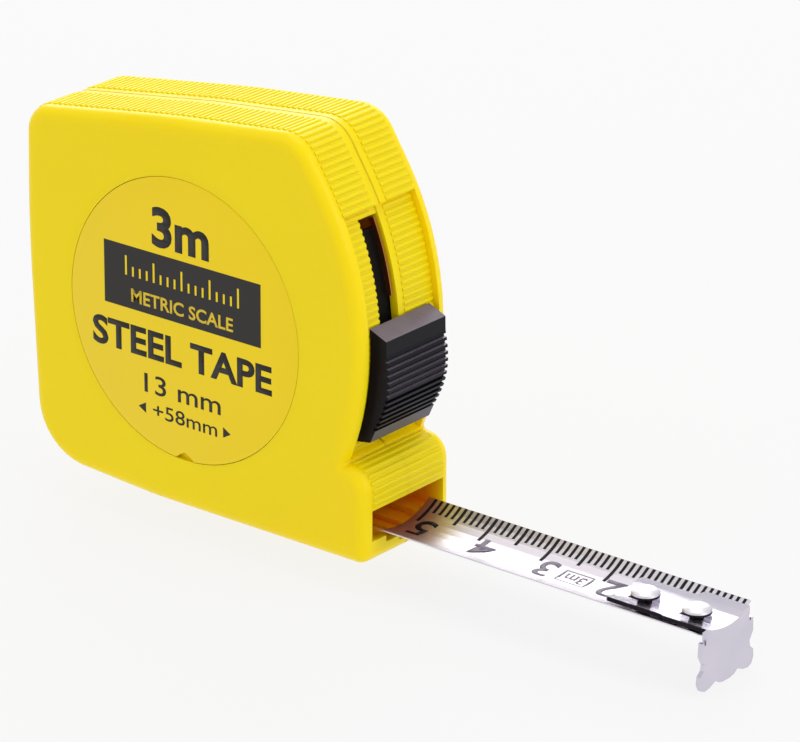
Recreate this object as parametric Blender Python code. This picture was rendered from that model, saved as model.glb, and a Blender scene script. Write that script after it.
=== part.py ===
"""Pocket tape measure: two-half case, sprung reel, curved steel blade with end hook, slide lock, belt clip.

Metres. +X is the way the blade pulls out, -Y is the labelled face, +Z is up.
The origin is a point on the flat foot of the case, on the labelled half.
"""
import bpy
import bmesh
from math import sin, cos, tan, asin, radians, degrees, pi, sqrt, atan2
from mathutils import Vector

MM = 0.001

# ---- driving sizes
CASE_LENGTH = 58.0 * MM
CASE_HEIGHT = 55.5 * MM
WALL = 1.5 * MM
BORDER = 1.6 * MM
BLADE_WIDTH = 13.0 * MM
BLADE_MID_Z = 2.712 * MM
SIDE_ROOM = 5.0 * MM
CASE_WIDTH = BLADE_WIDTH + SIDE_ROOM
BLADE_OUT = 49.9 * MM
BLADE_THICK = 0.14 * MM
DRUM_RADIUS = 14.0 * MM
COIL_BUILD = 3.6 * MM
LABEL_RADIUS = 19.2 * MM
NOSE_HEIGHT = 13.1 * MM
PARKED_GAP = 1.1 * MM

# ---- clearances
GAP = 0.3 * MM
HALF_GAP = GAP / 2
CUT = 1.0 * MM

# ---- frame: profile coordinates start at the nose front; the foot point is the origin
FOOT_FROM_NOSE = 0.31 * CASE_LENGTH
FOOT_FROM_PARTING = 2.0 * MM
FRAME_SHIFT = Vector((FOOT_FROM_NOSE, FOOT_FROM_PARTING, 0.0))

# ---- case
HALF_WIDTH = CASE_WIDTH / 2
INNER_HALF = HALF_WIDTH - WALL
FRONT_RADIUS = 0.692 * CASE_HEIGHT
FRONT_CX = -0.7 * MM - FRONT_RADIUS
FRONT_CZ = 0.515 * CASE_HEIGHT
TRACK_DEPTH = 1.0 * MM
TRACK_RADIUS = FRONT_RADIUS - TRACK_DEPTH
TRACK_WALL = 1.2 * MM
INNER_RADIUS = TRACK_RADIUS - TRACK_WALL
TRACK_HALF = HALF_WIDTH - BORDER - 0.3 * MM
SLOT_WIDTH = 3.8 * MM


def angle_at(radius, z):
    """Degrees on an arc about the front centre at height z."""
    return degrees(asin((z - FRONT_CZ) / radius))


FRONT_TOP_DEG = 33.0
FRONT_LOW_DEG = angle_at(FRONT_RADIUS, NOSE_HEIGHT + 0.8 * MM)
TRACK_LOW_DEG = angle_at(TRACK_RADIUS, NOSE_HEIGHT + 0.8 * MM)
SLOT_HIGH_DEG = angle_at(TRACK_RADIUS, 0.805 * CASE_HEIGHT)
TRACK_HIGH_DEG = SLOT_HIGH_DEG + 1.5
TOP_FRONT_Z = 1.008 * CASE_HEIGHT

# ---- mouth
MOUTH_TOP = 7.4 * MM
MOUTH_HALF = BLADE_WIDTH / 2 + 0.75 * MM
LIP_SIDE_Z = 3.15 * MM
LIP_MID_Z = 2.25 * MM
LIP_MID_HALF = 4.4 * MM
LIP_GROOVE_Z = 1.6 * MM
THROAT_LENGTH = 17.0 * MM

# ---- reel
REEL_X = -0.521 * CASE_LENGTH
REEL_Z = 0.476 * CASE_HEIGHT
COIL_RADIUS = DRUM_RADIUS + GAP + COIL_BUILD
FLANGE_RADIUS = COIL_RADIUS + 1.3 * MM
REEL_HALF = BLADE_WIDTH / 2 - 0.15 * MM
FLANGE_THICK = 0.5 * MM
POST_RADIUS = 2.3 * MM
DRUM_WALL = 1.2 * MM

# ---- blade section: a shallow trough
TROUGH_HALF_ANGLE = radians(34.3)
TROUGH_RADIUS = BLADE_WIDTH / (2 * TROUGH_HALF_ANGLE)
BLADE_INNER = 1.3 * MM
TROUGH_STEPS = 10
SHARP_DEG = 35.0

# ---- end hook and rivets
HOOK_THICK = 0.6 * MM
HOOK_SLIDE = 0.8 * MM
HOOK_PLATE = 15.6 * MM
HOOK_HALF_REAR = 3.8 * MM
HOOK_HALF_FRONT = 4.6 * MM
HOOK_STEP = 6.5 * MM
CLAW_HALF = 5.5 * MM
CLAW_DROP = 6.7 * MM
RIVET_HEAD = 1.9 * MM
RIVET_DOME = 0.8 * MM
RIVET_SHANK = 0.9 * MM
RIVET_BACK = (4.1 * MM, 12.0 * MM)

# ---- wound in, the claw stops short of the nose and the fixed feed ends behind the hook's plate
BLADE_TRAVEL = BLADE_OUT - PARKED_GAP
FEED_END_X = BLADE_OUT - HOOK_PLATE - BLADE_TRAVEL - GAP
FEED_END_Z = BLADE_MID_Z + BLADE_THICK + 1.5 * GAP

# ---- lock
BUTTON_HALF = 6.0 * MM
BUTTON_HEIGHT = 16.0 * MM
BUTTON_LOW_DEG = angle_at(TRACK_RADIUS, NOSE_HEIGHT + 2.75 * MM)
BUTTON_HIGH_DEG = BUTTON_LOW_DEG + degrees(BUTTON_HEIGHT / TRACK_RADIUS)
BUTTON_SLOPE_DEG = 1.9
BUTTON_SMOOTH_DEG = 2.7
BUTTON_FOOT_DEG = 4.3
BUTTON_FOOT_SLOPE_DEG = 1.6
BUTTON_RIBS = 12
BUTTON_GROOVE = 0.4 * MM
BUTTON_TOP_DEPTH = 2.9 * MM
BUTTON_LAST_DEPTH = 2.55 * MM
BUTTON_FOOT_DEPTH = 2.3 * MM
BUTTON_BULGE = 0.85 * MM
NECK_SIDE = 1.05 * MM
LEAF_THICK = 0.2 * MM
LEAF_DEPTH = 0.8 * MM
SLIDER_THICK = 1.2 * MM
SLIDER_HALF = 5.5 * MM
SLIDER_LOW_DEG = angle_at(INNER_RADIUS, MOUTH_TOP - 0.6 * MM)
SLIDER_HIGH_DEG = SLOT_HIGH_DEG - 2.5
NECK_HIGH_DEG = BUTTON_HIGH_DEG - 3.7
NECK_LOW_DEG = NECK_HIGH_DEG - 9.0
SLOT_LOW_DEG = NECK_LOW_DEG - 0.8
PAD_LOW_DEG = angle_at(INNER_RADIUS, MOUTH_TOP - 1.7 * MM)
PAD_DEPTH = 3.0 * MM
PAD_HALF = 4.5 * MM

# ---- screws and clip
SCREW_HEAD = 1.6 * MM
SCREW_HEAD_HIGH = 1.0 * MM
SCREW_SHANK = 0.8 * MM
BOSS_RADIUS = 2.6 * MM
COUNTERBORE_DEPTH = 1.3 * MM
CLIP_THICK = 0.8 * MM
CLIP_WIDTH = 12.0 * MM
CLIP_STAND = 3.4 * MM
CLIP_TOP = 14.5 * MM
CLIP_FOOT = 6.5 * MM
CLIP_TIP = 16.0 * MM


# ---- small geometry helpers
def clear_scene():
    for obj in list(bpy.data.objects):
        bpy.data.objects.remove(obj, do_unlink=True)


def material(name, colour, rough, metal=0.0):
    mat = bpy.data.materials.new(name)
    mat.use_nodes = True
    shader = mat.node_tree.nodes["Principled BSDF"]
    shader.inputs["Base Color"].default_value = (*colour, 1.0)
    shader.inputs["Roughness"].default_value = rough
    shader.inputs["Metallic"].default_value = metal
    return mat


def offset_corner(before, corner, after, inset):
    """The corner where both sides meet once each has moved to its left by the inset."""
    a = (corner - before).normalized()
    b = (after - corner).normalized()
    na = Vector((-a.y, a.x))
    nb = Vector((-b.y, b.x))
    start = corner + na * inset
    across = (nb - na) * inset
    turn = a.x * b.y - a.y * b.x
    along = (across.x * b.y - across.y * b.x) / turn
    return start + a * along


def outline(corners, inset=0.0):
    """Points of a closed outline given as (x, z, radius, steps), counter-clockwise, moved inwards."""
    count = len(corners)
    plain = [Vector(c[:2]) for c in corners]
    moved = [offset_corner(plain[i - 1], plain[i], plain[(i + 1) % count], inset) for i in range(count)]
    points = []
    for i, (_, _, radius, steps) in enumerate(corners):
        here = moved[i]
        a = (here - moved[i - 1]).normalized()
        b = (moved[(i + 1) % count] - here).normalized()
        turn = atan2(a.x * b.y - a.y * b.x, a.dot(b))
        side = 1 if turn > 0 else -1
        size = max(radius - side * inset, 0.1 * MM)
        start = here - a * size * tan(abs(turn) / 2)
        centre = start + Vector((-a.y, a.x)) * size * side
        arm = start - centre
        for k in range(steps + 1):
            swing = turn * k / steps
            c, s = cos(swing), sin(swing)
            points.append(centre + Vector((arm.x * c - arm.y * s, arm.x * s + arm.y * c)))
    return points


def loft(rings):
    """A closed body through rings of equal point count, capped at both ends."""
    bm = bmesh.new()
    rows = [[bm.verts.new(p) for p in ring] for ring in rings]
    for low, high in zip(rows, rows[1:]):
        for i in range(len(low)):
            j = (i + 1) % len(low)
            bm.faces.new((low[i], low[j], high[j], high[i]))
    bm.faces.new(rows[0][::-1])
    bm.faces.new(rows[-1])
    bmesh.ops.recalc_face_normals(bm, faces=bm.faces)
    return bm


def prism(points, y_low, y_high):
    """An outline in XZ drawn out along Y."""
    return loft([[(p[0], y, p[1]) for p in points] for y in (y_low, y_high)])


def block(x, y, z):
    return prism([(x[0], z[0]), (x[1], z[0]), (x[1], z[1]), (x[0], z[1])], y[0], y[1])


def rod(x, z, radius, y_low, y_high, steps=24):
    turns = [2 * pi * k / steps for k in range(steps)]
    return prism([(x + radius * cos(t), z + radius * sin(t)) for t in turns], y_low, y_high)


def upright_rod(x, y, radius, z_low, z_high, steps=20):
    turns = [2 * pi * k / steps for k in range(steps)]
    ring = [(x + radius * cos(t), y + radius * sin(t)) for t in turns]
    return loft([[(px, py, z) for px, py in ring] for z in (z_low, z_high)])


def turned(section, x, z, steps=64):
    """A closed (radius, y) section turned about the Y line through x, z."""
    bm = bmesh.new()
    rows = []
    for k in range(steps):
        t = 2 * pi * k / steps
        rows.append([bm.verts.new((x + r * cos(t), y, z + r * sin(t))) for r, y in section])
    for k in range(steps):
        here, there = rows[k], rows[(k + 1) % steps]
        for i in range(len(section)):
            j = (i + 1) % len(section)
            bm.faces.new((here[i], here[j], there[j], there[i]))
    bmesh.ops.recalc_face_normals(bm, faces=bm.faces)
    return bm


def arc_point(radius, degrees):
    t = radians(degrees)
    return (FRONT_CX + radius * cos(t), FRONT_CZ + radius * sin(t))


def arc_band(inner, outer, low, high, steps):
    """Points of a band about the front arc's centre."""
    turns = [low + (high - low) * k / steps for k in range(steps + 1)]
    return [arc_point(outer, t) for t in turns] + [arc_point(inner, t) for t in reversed(turns)]


def make_object(name, bm, mat, pivot=(0.0, 0.0, 0.0)):
    """Puts a mesh in the row frame with its origin at the pivot, given in profile coordinates."""
    origin = Vector(pivot) + FRAME_SHIFT if any(pivot) else Vector((0.0, 0.0, 0.0))
    bmesh.ops.translate(bm, vec=FRAME_SHIFT - origin, verts=bm.verts)
    mesh = bpy.data.meshes.new(name)
    bm.to_mesh(mesh)
    bm.free()
    obj = bpy.data.objects.new(name, mesh)
    obj.location = origin
    bpy.context.scene.collection.objects.link(obj)
    if mat:
        mesh.materials.append(mat)
    return obj


def combine(obj, pieces, operation):
    """Joins pieces to a body or cuts them from it, one after another."""
    for number, bm in enumerate(pieces):
        tool = make_object(f"{obj.name}_tool_{number}", bm, None)
        tool.display_type = 'WIRE'
        tool.hide_render = True
        step = obj.modifiers.new(f"{operation.lower()}_{number}", 'BOOLEAN')
        step.operation = operation
        step.solver = 'EXACT'
        step.object = tool
        bpy.context.view_layer.update()
        shape = bpy.data.meshes.new_from_object(obj.evaluated_get(bpy.context.evaluated_depsgraph_get()))
        obj.modifiers.clear()
        obj.data = shape
        bpy.data.objects.remove(tool, do_unlink=True)


# ---- case
def tangent_corner(radius, low, high):
    """Where the tangents at both ends of a stretch of the front arc meet."""
    return arc_point(radius / cos(radians(high - low) / 2), (low + high) / 2)


def on_tangent(radius, degrees, z):
    """The x at height z on the tangent to the front arc."""
    px, pz = arc_point(radius, degrees)
    t = radians(degrees)
    return px - sin(t) * (z - pz) / cos(t)


def back_corners():
    """Top and back of the case, from the front of the top round to the foot."""
    return [
        (-0.552 * CASE_LENGTH, 0.969 * CASE_HEIGHT, 150 * MM, 4),
        (-0.994 * CASE_LENGTH, 0.901 * CASE_HEIGHT, 4.0 * MM, 6),
        (-CASE_LENGTH, 0.595 * CASE_HEIGHT, 200 * MM, 3),
        (-0.976 * CASE_LENGTH, 0.022 * CASE_HEIGHT, 8.5 * MM, 8),
        (-0.62 * CASE_LENGTH, 0.0, 80 * MM, 3),
    ]


def case_corners():
    front = tangent_corner(FRONT_RADIUS, FRONT_LOW_DEG, FRONT_TOP_DEG)
    top_x = on_tangent(FRONT_RADIUS, FRONT_TOP_DEG, TOP_FRONT_Z)
    notch_x = on_tangent(FRONT_RADIUS, FRONT_LOW_DEG, NOSE_HEIGHT)
    return [
        (0.0, 0.0, 1.7 * MM, 5),
        (0.0, NOSE_HEIGHT, -notch_x - 0.6 * MM, 8),
        (notch_x, NOSE_HEIGHT, 0.3 * MM, 3),
        (*front, FRONT_RADIUS, 24),
        (top_x, TOP_FRONT_Z, 5.2 * MM, 8),
    ] + back_corners()


def hollow_corners():
    """The body without its nose: its inside is this outline moved in by the wall."""
    radius = INNER_RADIUS + WALL
    low = angle_at(radius, MOUTH_TOP - 3.0 * MM)
    front = tangent_corner(radius, low, FRONT_TOP_DEG)
    return [
        (on_tangent(radius, low, 0.0), 0.0, 2.5 * MM, 3),
        (*front, radius, 20),
        (on_tangent(radius, FRONT_TOP_DEG, TOP_FRONT_Z), TOP_FRONT_Z, 5.2 * MM, 5),
    ] + back_corners()


def half_shell(name, side, mat):
    """One solid half, side -1 for the labelled half, with its rounded border."""
    corners = case_corners()
    rings = [[(p.x, side * HALF_GAP, p.y) for p in outline(corners)]]
    steps = 5
    for k in range(steps + 1):
        t = (pi / 2) * k / steps
        y = HALF_WIDTH - BORDER + BORDER * sin(t)
        ring = outline(corners, BORDER * (1 - cos(t)))
        rings.append([(p.x, side * y, p.y) for p in ring])
    return make_object(name, loft(rings), mat)


def screw_spots():
    nose_z = MOUTH_TOP + 0.41 * (NOSE_HEIGHT - MOUTH_TOP)
    return [
        (-0.897 * CASE_LENGTH, 0.80 * CASE_HEIGHT),
        (-0.29 * CASE_LENGTH, 0.886 * CASE_HEIGHT),
        (-0.888 * CASE_LENGTH, 0.16 * CASE_HEIGHT),
        (-0.097 * CASE_LENGTH, nose_z),
    ]


def hollow_cutters():
    """Inside, throat, lower lip and button track, as cutters for either half."""
    inside = prism(outline(hollow_corners(), WALL), -INNER_HALF, INNER_HALF)
    throat = block((-THROAT_LENGTH, CUT), (-MOUTH_HALF, MOUTH_HALF), (LIP_SIDE_Z, MOUTH_TOP))
    lip = block((-THROAT_LENGTH, CUT), (-LIP_MID_HALF, LIP_MID_HALF), (LIP_MID_Z, LIP_SIDE_Z + CUT / 2))
    tails = 0.75 * RIVET_HEAD + GAP
    groove = block((-THROAT_LENGTH, CUT), (-tails, tails), (LIP_GROOVE_Z, LIP_MID_Z + CUT / 2))
    band = arc_band(TRACK_RADIUS, FRONT_RADIUS + 2 * CUT, TRACK_LOW_DEG, TRACK_HIGH_DEG, 20)
    track = prism(band, -TRACK_HALF, TRACK_HALF)
    return [inside, throat, lip, groove, track]


def case_left(mat):
    obj = half_shell("case_left", -1, mat)
    combine(obj, hollow_cutters(), 'DIFFERENCE')
    spots = screw_spots()
    bosses = [rod(x, z, BOSS_RADIUS, -INNER_HALF - WALL / 2, -HALF_GAP) for x, z in spots[:3]]
    combine(obj, bosses, 'UNION')
    bores = [rod(x, z, SCREW_SHANK + GAP, -INNER_HALF + CUT, CUT) for x, z in spots]
    slot_band = arc_band(INNER_RADIUS - CUT, TRACK_RADIUS + CUT, SLOT_LOW_DEG, SLOT_HIGH_DEG, 14)
    slot = prism(slot_band, -SLOT_WIDTH, CUT)
    recess = rod(REEL_X, REEL_Z, LABEL_RADIUS + GAP, -HALF_WIDTH - CUT, LABEL_FLOOR, 72)
    combine(obj, bores + [slot, recess], 'DIFFERENCE')
    return obj


def case_right(mat):
    obj = half_shell("case_right", 1, mat)
    combine(obj, hollow_cutters(), 'DIFFERENCE')
    spots = screw_spots()
    bosses = [rod(x, z, BOSS_RADIUS, HALF_GAP, INNER_HALF + WALL / 2) for x, z in spots[:3]]
    combine(obj, bosses, 'UNION')
    bores = [rod(x, z, SCREW_SHANK + GAP, -CUT, HALF_WIDTH + CUT) for x, z in spots]
    sinks = [rod(x, z, SCREW_HEAD + GAP, HALF_WIDTH - COUNTERBORE_DEPTH, HALF_WIDTH + CUT) for x, z in spots]
    middle = rod(REEL_X, REEL_Z, SCREW_SHANK + GAP, 0.0, HALF_WIDTH + CUT)
    combine(obj, bores + sinks + [middle], 'DIFFERENCE')
    return obj


LABEL_THICK = 0.35 * MM
LABEL_FLOOR = -HALF_WIDTH + LABEL_THICK + GAP
LABEL_NOTCH = 1.2 * MM


def label_disc(mat):
    bm = rod(REEL_X, REEL_Z, LABEL_RADIUS, LABEL_FLOOR - GAP - LABEL_THICK, LABEL_FLOOR - GAP, 72)
    obj = make_object("label_disc", bm, mat)
    notch = rod(REEL_X, REEL_Z - LABEL_RADIUS, LABEL_NOTCH, -HALF_WIDTH - CUT, 0.0)
    combine(obj, [notch], 'DIFFERENCE')
    return obj


def cross_cut(x, z, y_top):
    """Two crossed slots for a screwdriver."""
    arm, half, deep = 1.0 * MM, 0.18 * MM, 0.5 * MM
    flat = block((x - arm, x + arm), (y_top - deep, y_top + CUT), (z - half, z + half))
    tall = block((x - half, x + half), (y_top - deep, y_top + CUT), (z - arm, z + arm))
    return [flat, tall]


def screw(name, x, z, y_seat, y_end, mat):
    """A pan-head screw from the far side: seat of its head, tip of its shank."""
    top = y_seat + SCREW_HEAD_HIGH
    bevel = 0.25 * MM
    sizes = [
        (SCREW_SHANK * 0.6, y_end),
        (SCREW_SHANK, y_end + bevel * 2),
        (SCREW_SHANK, y_seat),
        (SCREW_HEAD, y_seat),
        (SCREW_HEAD, top - bevel),
        (SCREW_HEAD - bevel, top),
    ]
    turns = [2 * pi * k / 20 for k in range(20)]
    rings = [[(x + r * cos(t), y, z + r * sin(t)) for t in turns] for r, y in sizes]
    obj = make_object(name, loft(rings), mat)
    combine(obj, cross_cut(x, z, top), 'DIFFERENCE')
    return obj


def case_screws(mat):
    seat = HALF_WIDTH - COUNTERBORE_DEPTH + GAP
    for number, (x, z) in enumerate(screw_spots(), 1):
        screw(f"case_screw_{number}", x, z, seat, -INNER_HALF + CUT + GAP, mat)


# ---- belt clip
def clip_line():
    """Middle line of the clip strip from its foot up, over and down to its tip, as (y, z)."""
    near = HALF_WIDTH + GAP + CLIP_THICK / 2
    bend = (CLIP_STAND + CLIP_THICK) / 2
    top = REEL_Z + CLIP_TOP
    line = [(near, REEL_Z - CLIP_FOOT)]
    for k in range(9):
        t = pi * k / 8
        line.append((near + bend - bend * cos(t), top + bend * sin(t)))
    line.append((near + 1.7 * bend, REEL_Z - 0.6 * CLIP_TIP))
    line.append((near + 1.55 * bend, REEL_Z - 0.78 * CLIP_TIP))
    line.append((near + 1.75 * bend, REEL_Z - 0.9 * CLIP_TIP))
    line.append((near + 2.3 * bend, REEL_Z - CLIP_TIP))
    return [Vector(p) for p in line]


def strip_section(line, thick):
    """Both sides of a thin strip along a line, as one closed outline."""
    left, right = [], []
    for i, here in enumerate(line):
        before = line[max(i - 1, 0)]
        after = line[min(i + 1, len(line) - 1)]
        along = (after - before).normalized()
        across = Vector((-along.y, along.x)) * thick / 2
        left.append(here + across)
        right.append(here - across)
    return left + right[::-1]


def belt_clip(mat):
    ring = strip_section(clip_line(), CLIP_THICK)
    half = CLIP_WIDTH / 2
    rings = [[(REEL_X + x, p.x, p.y) for p in ring] for x in (-half, half)]
    obj = make_object("belt_clip", loft(rings), mat)
    hole = rod(REEL_X, REEL_Z, SCREW_SHANK + GAP, 0.0, HALF_WIDTH + GAP + CLIP_THICK + CUT)
    outer = HALF_WIDTH + CLIP_STAND
    window = rod(REEL_X, REEL_Z, SCREW_HEAD + 0.6 * MM, outer, outer + 5 * CUT)
    combine(obj, [hole, window], 'DIFFERENCE')
    return obj


# ---- reel
def centre_post(mat):
    end = INNER_HALF - GAP
    obj = make_object("centre_post", rod(REEL_X, REEL_Z, POST_RADIUS, -end, end, 32), mat)
    bore = rod(REEL_X, REEL_Z, SCREW_SHANK + GAP, -end + 2 * CUT, end + CUT)
    above = (REEL_Z, REEL_Z + 2 * POST_RADIUS)
    slit = block((REEL_X - HALF_GAP, REEL_X + HALF_GAP), (-end - CUT, 0.0), above)
    combine(obj, [bore, slit], 'DIFFERENCE')
    return obj


def reel_drum(mat):
    outer, inner = DRUM_RADIUS, DRUM_RADIUS - DRUM_WALL
    hub_in, hub_out = POST_RADIUS + GAP, POST_RADIUS + GAP + 0.9 * MM
    web = REEL_HALF - 0.9 * MM
    section = [
        (inner, -REEL_HALF), (outer, -REEL_HALF), (outer, REEL_HALF), (hub_in, REEL_HALF),
        (hub_in, web - CUT), (hub_out, web - CUT), (hub_out, web), (inner, web),
    ]
    obj = make_object("reel_drum", turned(section, REEL_X, REEL_Z), mat, (REEL_X, 0.0, REEL_Z))
    return obj


def reel_disc(name, side, mat):
    low = side * (REEL_HALF + GAP)
    high = side * (REEL_HALF + GAP + FLANGE_THICK)
    inner = 5.0 * MM
    section = [(inner, low), (FLANGE_RADIUS, low), (FLANGE_RADIUS, high), (inner, high)]
    return make_object(name, turned(section, REEL_X, REEL_Z), mat, (REEL_X, 0.0, REEL_Z))


SPRING_THICK = 0.22 * MM
SPRING_TURNS = 8


def power_spring(mat):
    """Flat spiral spring between the post and the drum."""
    start = POST_RADIUS + 2 * GAP
    end = DRUM_RADIUS - DRUM_WALL - GAP - SPRING_THICK
    steps = SPRING_TURNS * 28
    line = []
    for k in range(steps + 1):
        t = 2 * pi * SPRING_TURNS * k / steps
        r = start + (end - start) * k / steps
        line.append(Vector((REEL_X + r * cos(t), REEL_Z + r * sin(t))))
    ring = strip_section(line, SPRING_THICK)
    low = -REEL_HALF + GAP
    high = REEL_HALF - 0.9 * MM - CUT - GAP
    bm = spiral_body(ring, low, high)
    return make_object("power_spring", bm, mat, (REEL_X, 0.0, REEL_Z))


def spiral_body(ring, low, high):
    """A long thin strip drawn out along Y, its two sides capped by quads from end to end."""
    bm = bmesh.new()
    bottom = [bm.verts.new((p.x, low, p.y)) for p in ring]
    top = [bm.verts.new((p.x, high, p.y)) for p in ring]
    count = len(ring)
    for i in range(count):
        j = (i + 1) % count
        bm.faces.new((bottom[i], bottom[j], top[j], top[i]))
    for i in range(count // 2 - 1):
        a, b = count - 1 - i, count - 2 - i
        bm.faces.new((bottom[i], bottom[i + 1], bottom[b], bottom[a]))
        bm.faces.new((top[i], top[a], top[b], top[i + 1]))
    bmesh.ops.recalc_face_normals(bm, faces=bm.faces)
    return bm


def blade_coil(mat):
    inner = DRUM_RADIUS + GAP
    section = [(inner, -REEL_HALF), (COIL_RADIUS, -REEL_HALF), (COIL_RADIUS, REEL_HALF), (inner, REEL_HALF)]
    return make_object("blade_coil", turned(section, REEL_X, REEL_Z, 80), mat, (REEL_X, 0.0, REEL_Z))


# ---- blade
def trough_ring(x, mid_z, share, thick):
    """Section of the blade at x: share 1 is the full trough, share 0 is flat."""
    half = TROUGH_HALF_ANGLE
    points = []
    for k in range(TROUGH_STEPS + 1):
        t = half * (2 * k / TROUGH_STEPS - 1)
        curved = (TROUGH_RADIUS * sin(t), TROUGH_RADIUS * (1 - cos(t)))
        flat = REEL_HALF * (2 * k / TROUGH_STEPS - 1)
        points.append(Vector((flat + (curved[0] - flat) * share, mid_z + curved[1] * share)))
    return [(x, p.x, p.y) for p in strip_section(points, thick)]


def blade(mat):
    rings = [trough_ring(x, BLADE_MID_Z, 1.0, BLADE_THICK) for x in (-BLADE_INNER, BLADE_OUT - GAP)]
    obj = make_object("blade", loft(rings), mat)
    holes = [
        upright_rod(BLADE_OUT - back, 0.0, RIVET_SHANK + GAP, BLADE_MID_Z - CUT, BLADE_MID_Z + CUT)
        for back in RIVET_BACK
    ]
    combine(obj, holes, 'DIFFERENCE')
    return obj


def blade_feed(mat):
    """The stretch that leaves the coil and opens into the trough, all of it clear above the blade."""
    start_x, start_z = REEL_X, REEL_Z - COIL_RADIUS - GAP - BLADE_THICK / 2
    steps = 10
    rings = []
    for k in range(steps + 1):
        share = k / steps
        opened = share * share * (3 - 2 * share)
        x = start_x + (FEED_END_X - start_x) * share
        rings.append(trough_ring(x, start_z + (FEED_END_Z - start_z) * share, opened, BLADE_THICK))
    return make_object("blade_feed", loft(rings), mat)


def trough_z(y):
    """Height of the blade's middle surface at y."""
    return BLADE_MID_Z + TROUGH_RADIUS - sqrt(TROUGH_RADIUS ** 2 - y ** 2)


def hook_plate_rings():
    """Sections of the hook's plate from its rear to the bend, following the blade's trough."""
    rear = BLADE_OUT - HOOK_PLATE
    step = BLADE_OUT - HOOK_STEP
    stations = [
        (rear, HOOK_HALF_REAR - 0.5 * MM), (rear + 0.5 * MM, HOOK_HALF_REAR),
        (step - 0.4 * MM, HOOK_HALF_REAR), (step + 0.4 * MM, HOOK_HALF_FRONT),
        (BLADE_OUT + HOOK_THICK, HOOK_HALF_FRONT),
    ]
    rings = []
    for x, half in stations:
        ys = [half * (2 * k / 8 - 1) for k in range(9)]
        base = [(y, trough_z(y) + BLADE_THICK / 2 + GAP) for y in ys]
        ring = [(x, y, z) for y, z in base] + [(x, y, z + HOOK_THICK) for y, z in reversed(base)]
        rings.append(ring)
    return rings


def claw_outline():
    """Front view of the claw as (y, z): curved neck, shoulders, waist and a foot of three lobes."""
    shoulder = BLADE_MID_Z + GAP
    lift = BLADE_THICK / 2 + GAP + HOOK_THICK / 2
    neck = [HOOK_HALF_FRONT * k / 4 for k in range(5)]
    top = [(y, trough_z(y) + lift) for y in neck]
    notch = [(HOOK_HALF_FRONT, shoulder - 0.4 * MM), (HOOK_HALF_FRONT + 0.3 * MM, shoulder - 0.4 * MM)]
    side = [
        (0.90, 0.0), (0.98, 0.0), (1.0, 0.28), (0.87, 0.46), (0.89, 0.58), (1.02, 0.67),
        (1.04, 0.83), (0.96, 0.96), (0.84, 1.0), (0.64, 0.98), (0.42, 0.90), (0.30, 0.97), (0.14, 1.0),
    ]
    low = [(CLAW_HALF * y, shoulder - CLAW_DROP * z) for y, z in side]
    right = top + notch + low
    left = [(-y, z) for y, z in reversed(right[1:])]
    return right + left


def end_hook(mat):
    obj = make_object("end_hook", loft(hook_plate_rings()), mat)
    front = BLADE_OUT + HOOK_THICK
    claw = claw_outline()
    panel = loft([[(x, y, z) for y, z in claw] for x in (BLADE_OUT, front)])
    combine(obj, [panel], 'UNION')
    slots = []
    for back in RIVET_BACK:
        half = RIVET_SHANK + GAP
        low, high = BLADE_OUT - back - half - HOOK_SLIDE, BLADE_OUT - back + half
        slots.append(block((low, high), (-half, half), (BLADE_MID_Z - CUT, BLADE_MID_Z + 3 * CUT)))
    combine(obj, slots, 'DIFFERENCE')
    return obj


def hook_rivets(mat):
    """Domed rivets through the blade and the hook's slots, flat heads beneath."""
    under = BLADE_MID_Z - BLADE_THICK / 2 - GAP
    over = BLADE_MID_Z + BLADE_THICK / 2 + 2 * GAP + HOOK_THICK + 0.16 * MM
    sizes = [(0.75 * RIVET_HEAD, under - 0.35 * MM), (0.75 * RIVET_HEAD, under), (RIVET_SHANK, under)]
    sizes += [(RIVET_SHANK, over), (RIVET_HEAD, over), (RIVET_HEAD, over + 0.3 * MM)]
    for k in range(1, 5):
        t = (pi / 2) * k / 5
        sizes.append((RIVET_HEAD * cos(t), over + 0.3 * MM + RIVET_DOME * sin(t)))
    turns = [2 * pi * k / 24 for k in range(24)]
    for number, back in enumerate(RIVET_BACK, 1):
        x = BLADE_OUT - back
        rings = [[(x + r * cos(t), r * sin(t), z) for t in turns] for r, z in sizes]
        make_object(f"hook_rivet_{number}", loft(rings), mat)


# ---- lock
def lock_pivot():
    return (FRONT_CX, 0.0, FRONT_CZ)


def button_depth(share):
    """How far the ribs' crests stand off the track, from the top rib at 0 to the lowest at 1."""
    straight = BUTTON_TOP_DEPTH + (BUTTON_LAST_DEPTH - BUTTON_TOP_DEPTH) * share
    return straight + BUTTON_BULGE * sin(pi * share)


def button_outline():
    """Side view of the button: top sloping up to the track, smooth band, stepped ribs, foot."""
    bottom, top = BUTTON_LOW_DEG, BUTTON_HIGH_DEG
    inner, front = TRACK_RADIUS + GAP, top - BUTTON_SLOPE_DEG
    ribs_top, ribs_low = front - BUTTON_SMOOTH_DEG, bottom + BUTTON_FOOT_DEG
    pitch = (ribs_top - ribs_low) / BUTTON_RIBS
    points = [arc_point(inner, bottom + (top - bottom) * k / 8) for k in range(9)]
    points.append(arc_point(TRACK_RADIUS + BUTTON_TOP_DEPTH, front))
    for k in range(BUTTON_RIBS):
        for step, sunk in ((0.0, 0.0), (0.42, 0.0), (0.52, 1.0), (0.94, 1.0)):
            height = TRACK_RADIUS + button_depth((k + step) / BUTTON_RIBS) - sunk * BUTTON_GROOVE
            points.append(arc_point(height, ribs_top - (k + step) * pitch))
    points.append(arc_point(TRACK_RADIUS + BUTTON_LAST_DEPTH, ribs_low))
    points.append(arc_point(TRACK_RADIUS + BUTTON_FOOT_DEPTH, bottom + BUTTON_FOOT_SLOPE_DEG))
    return points


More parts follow.
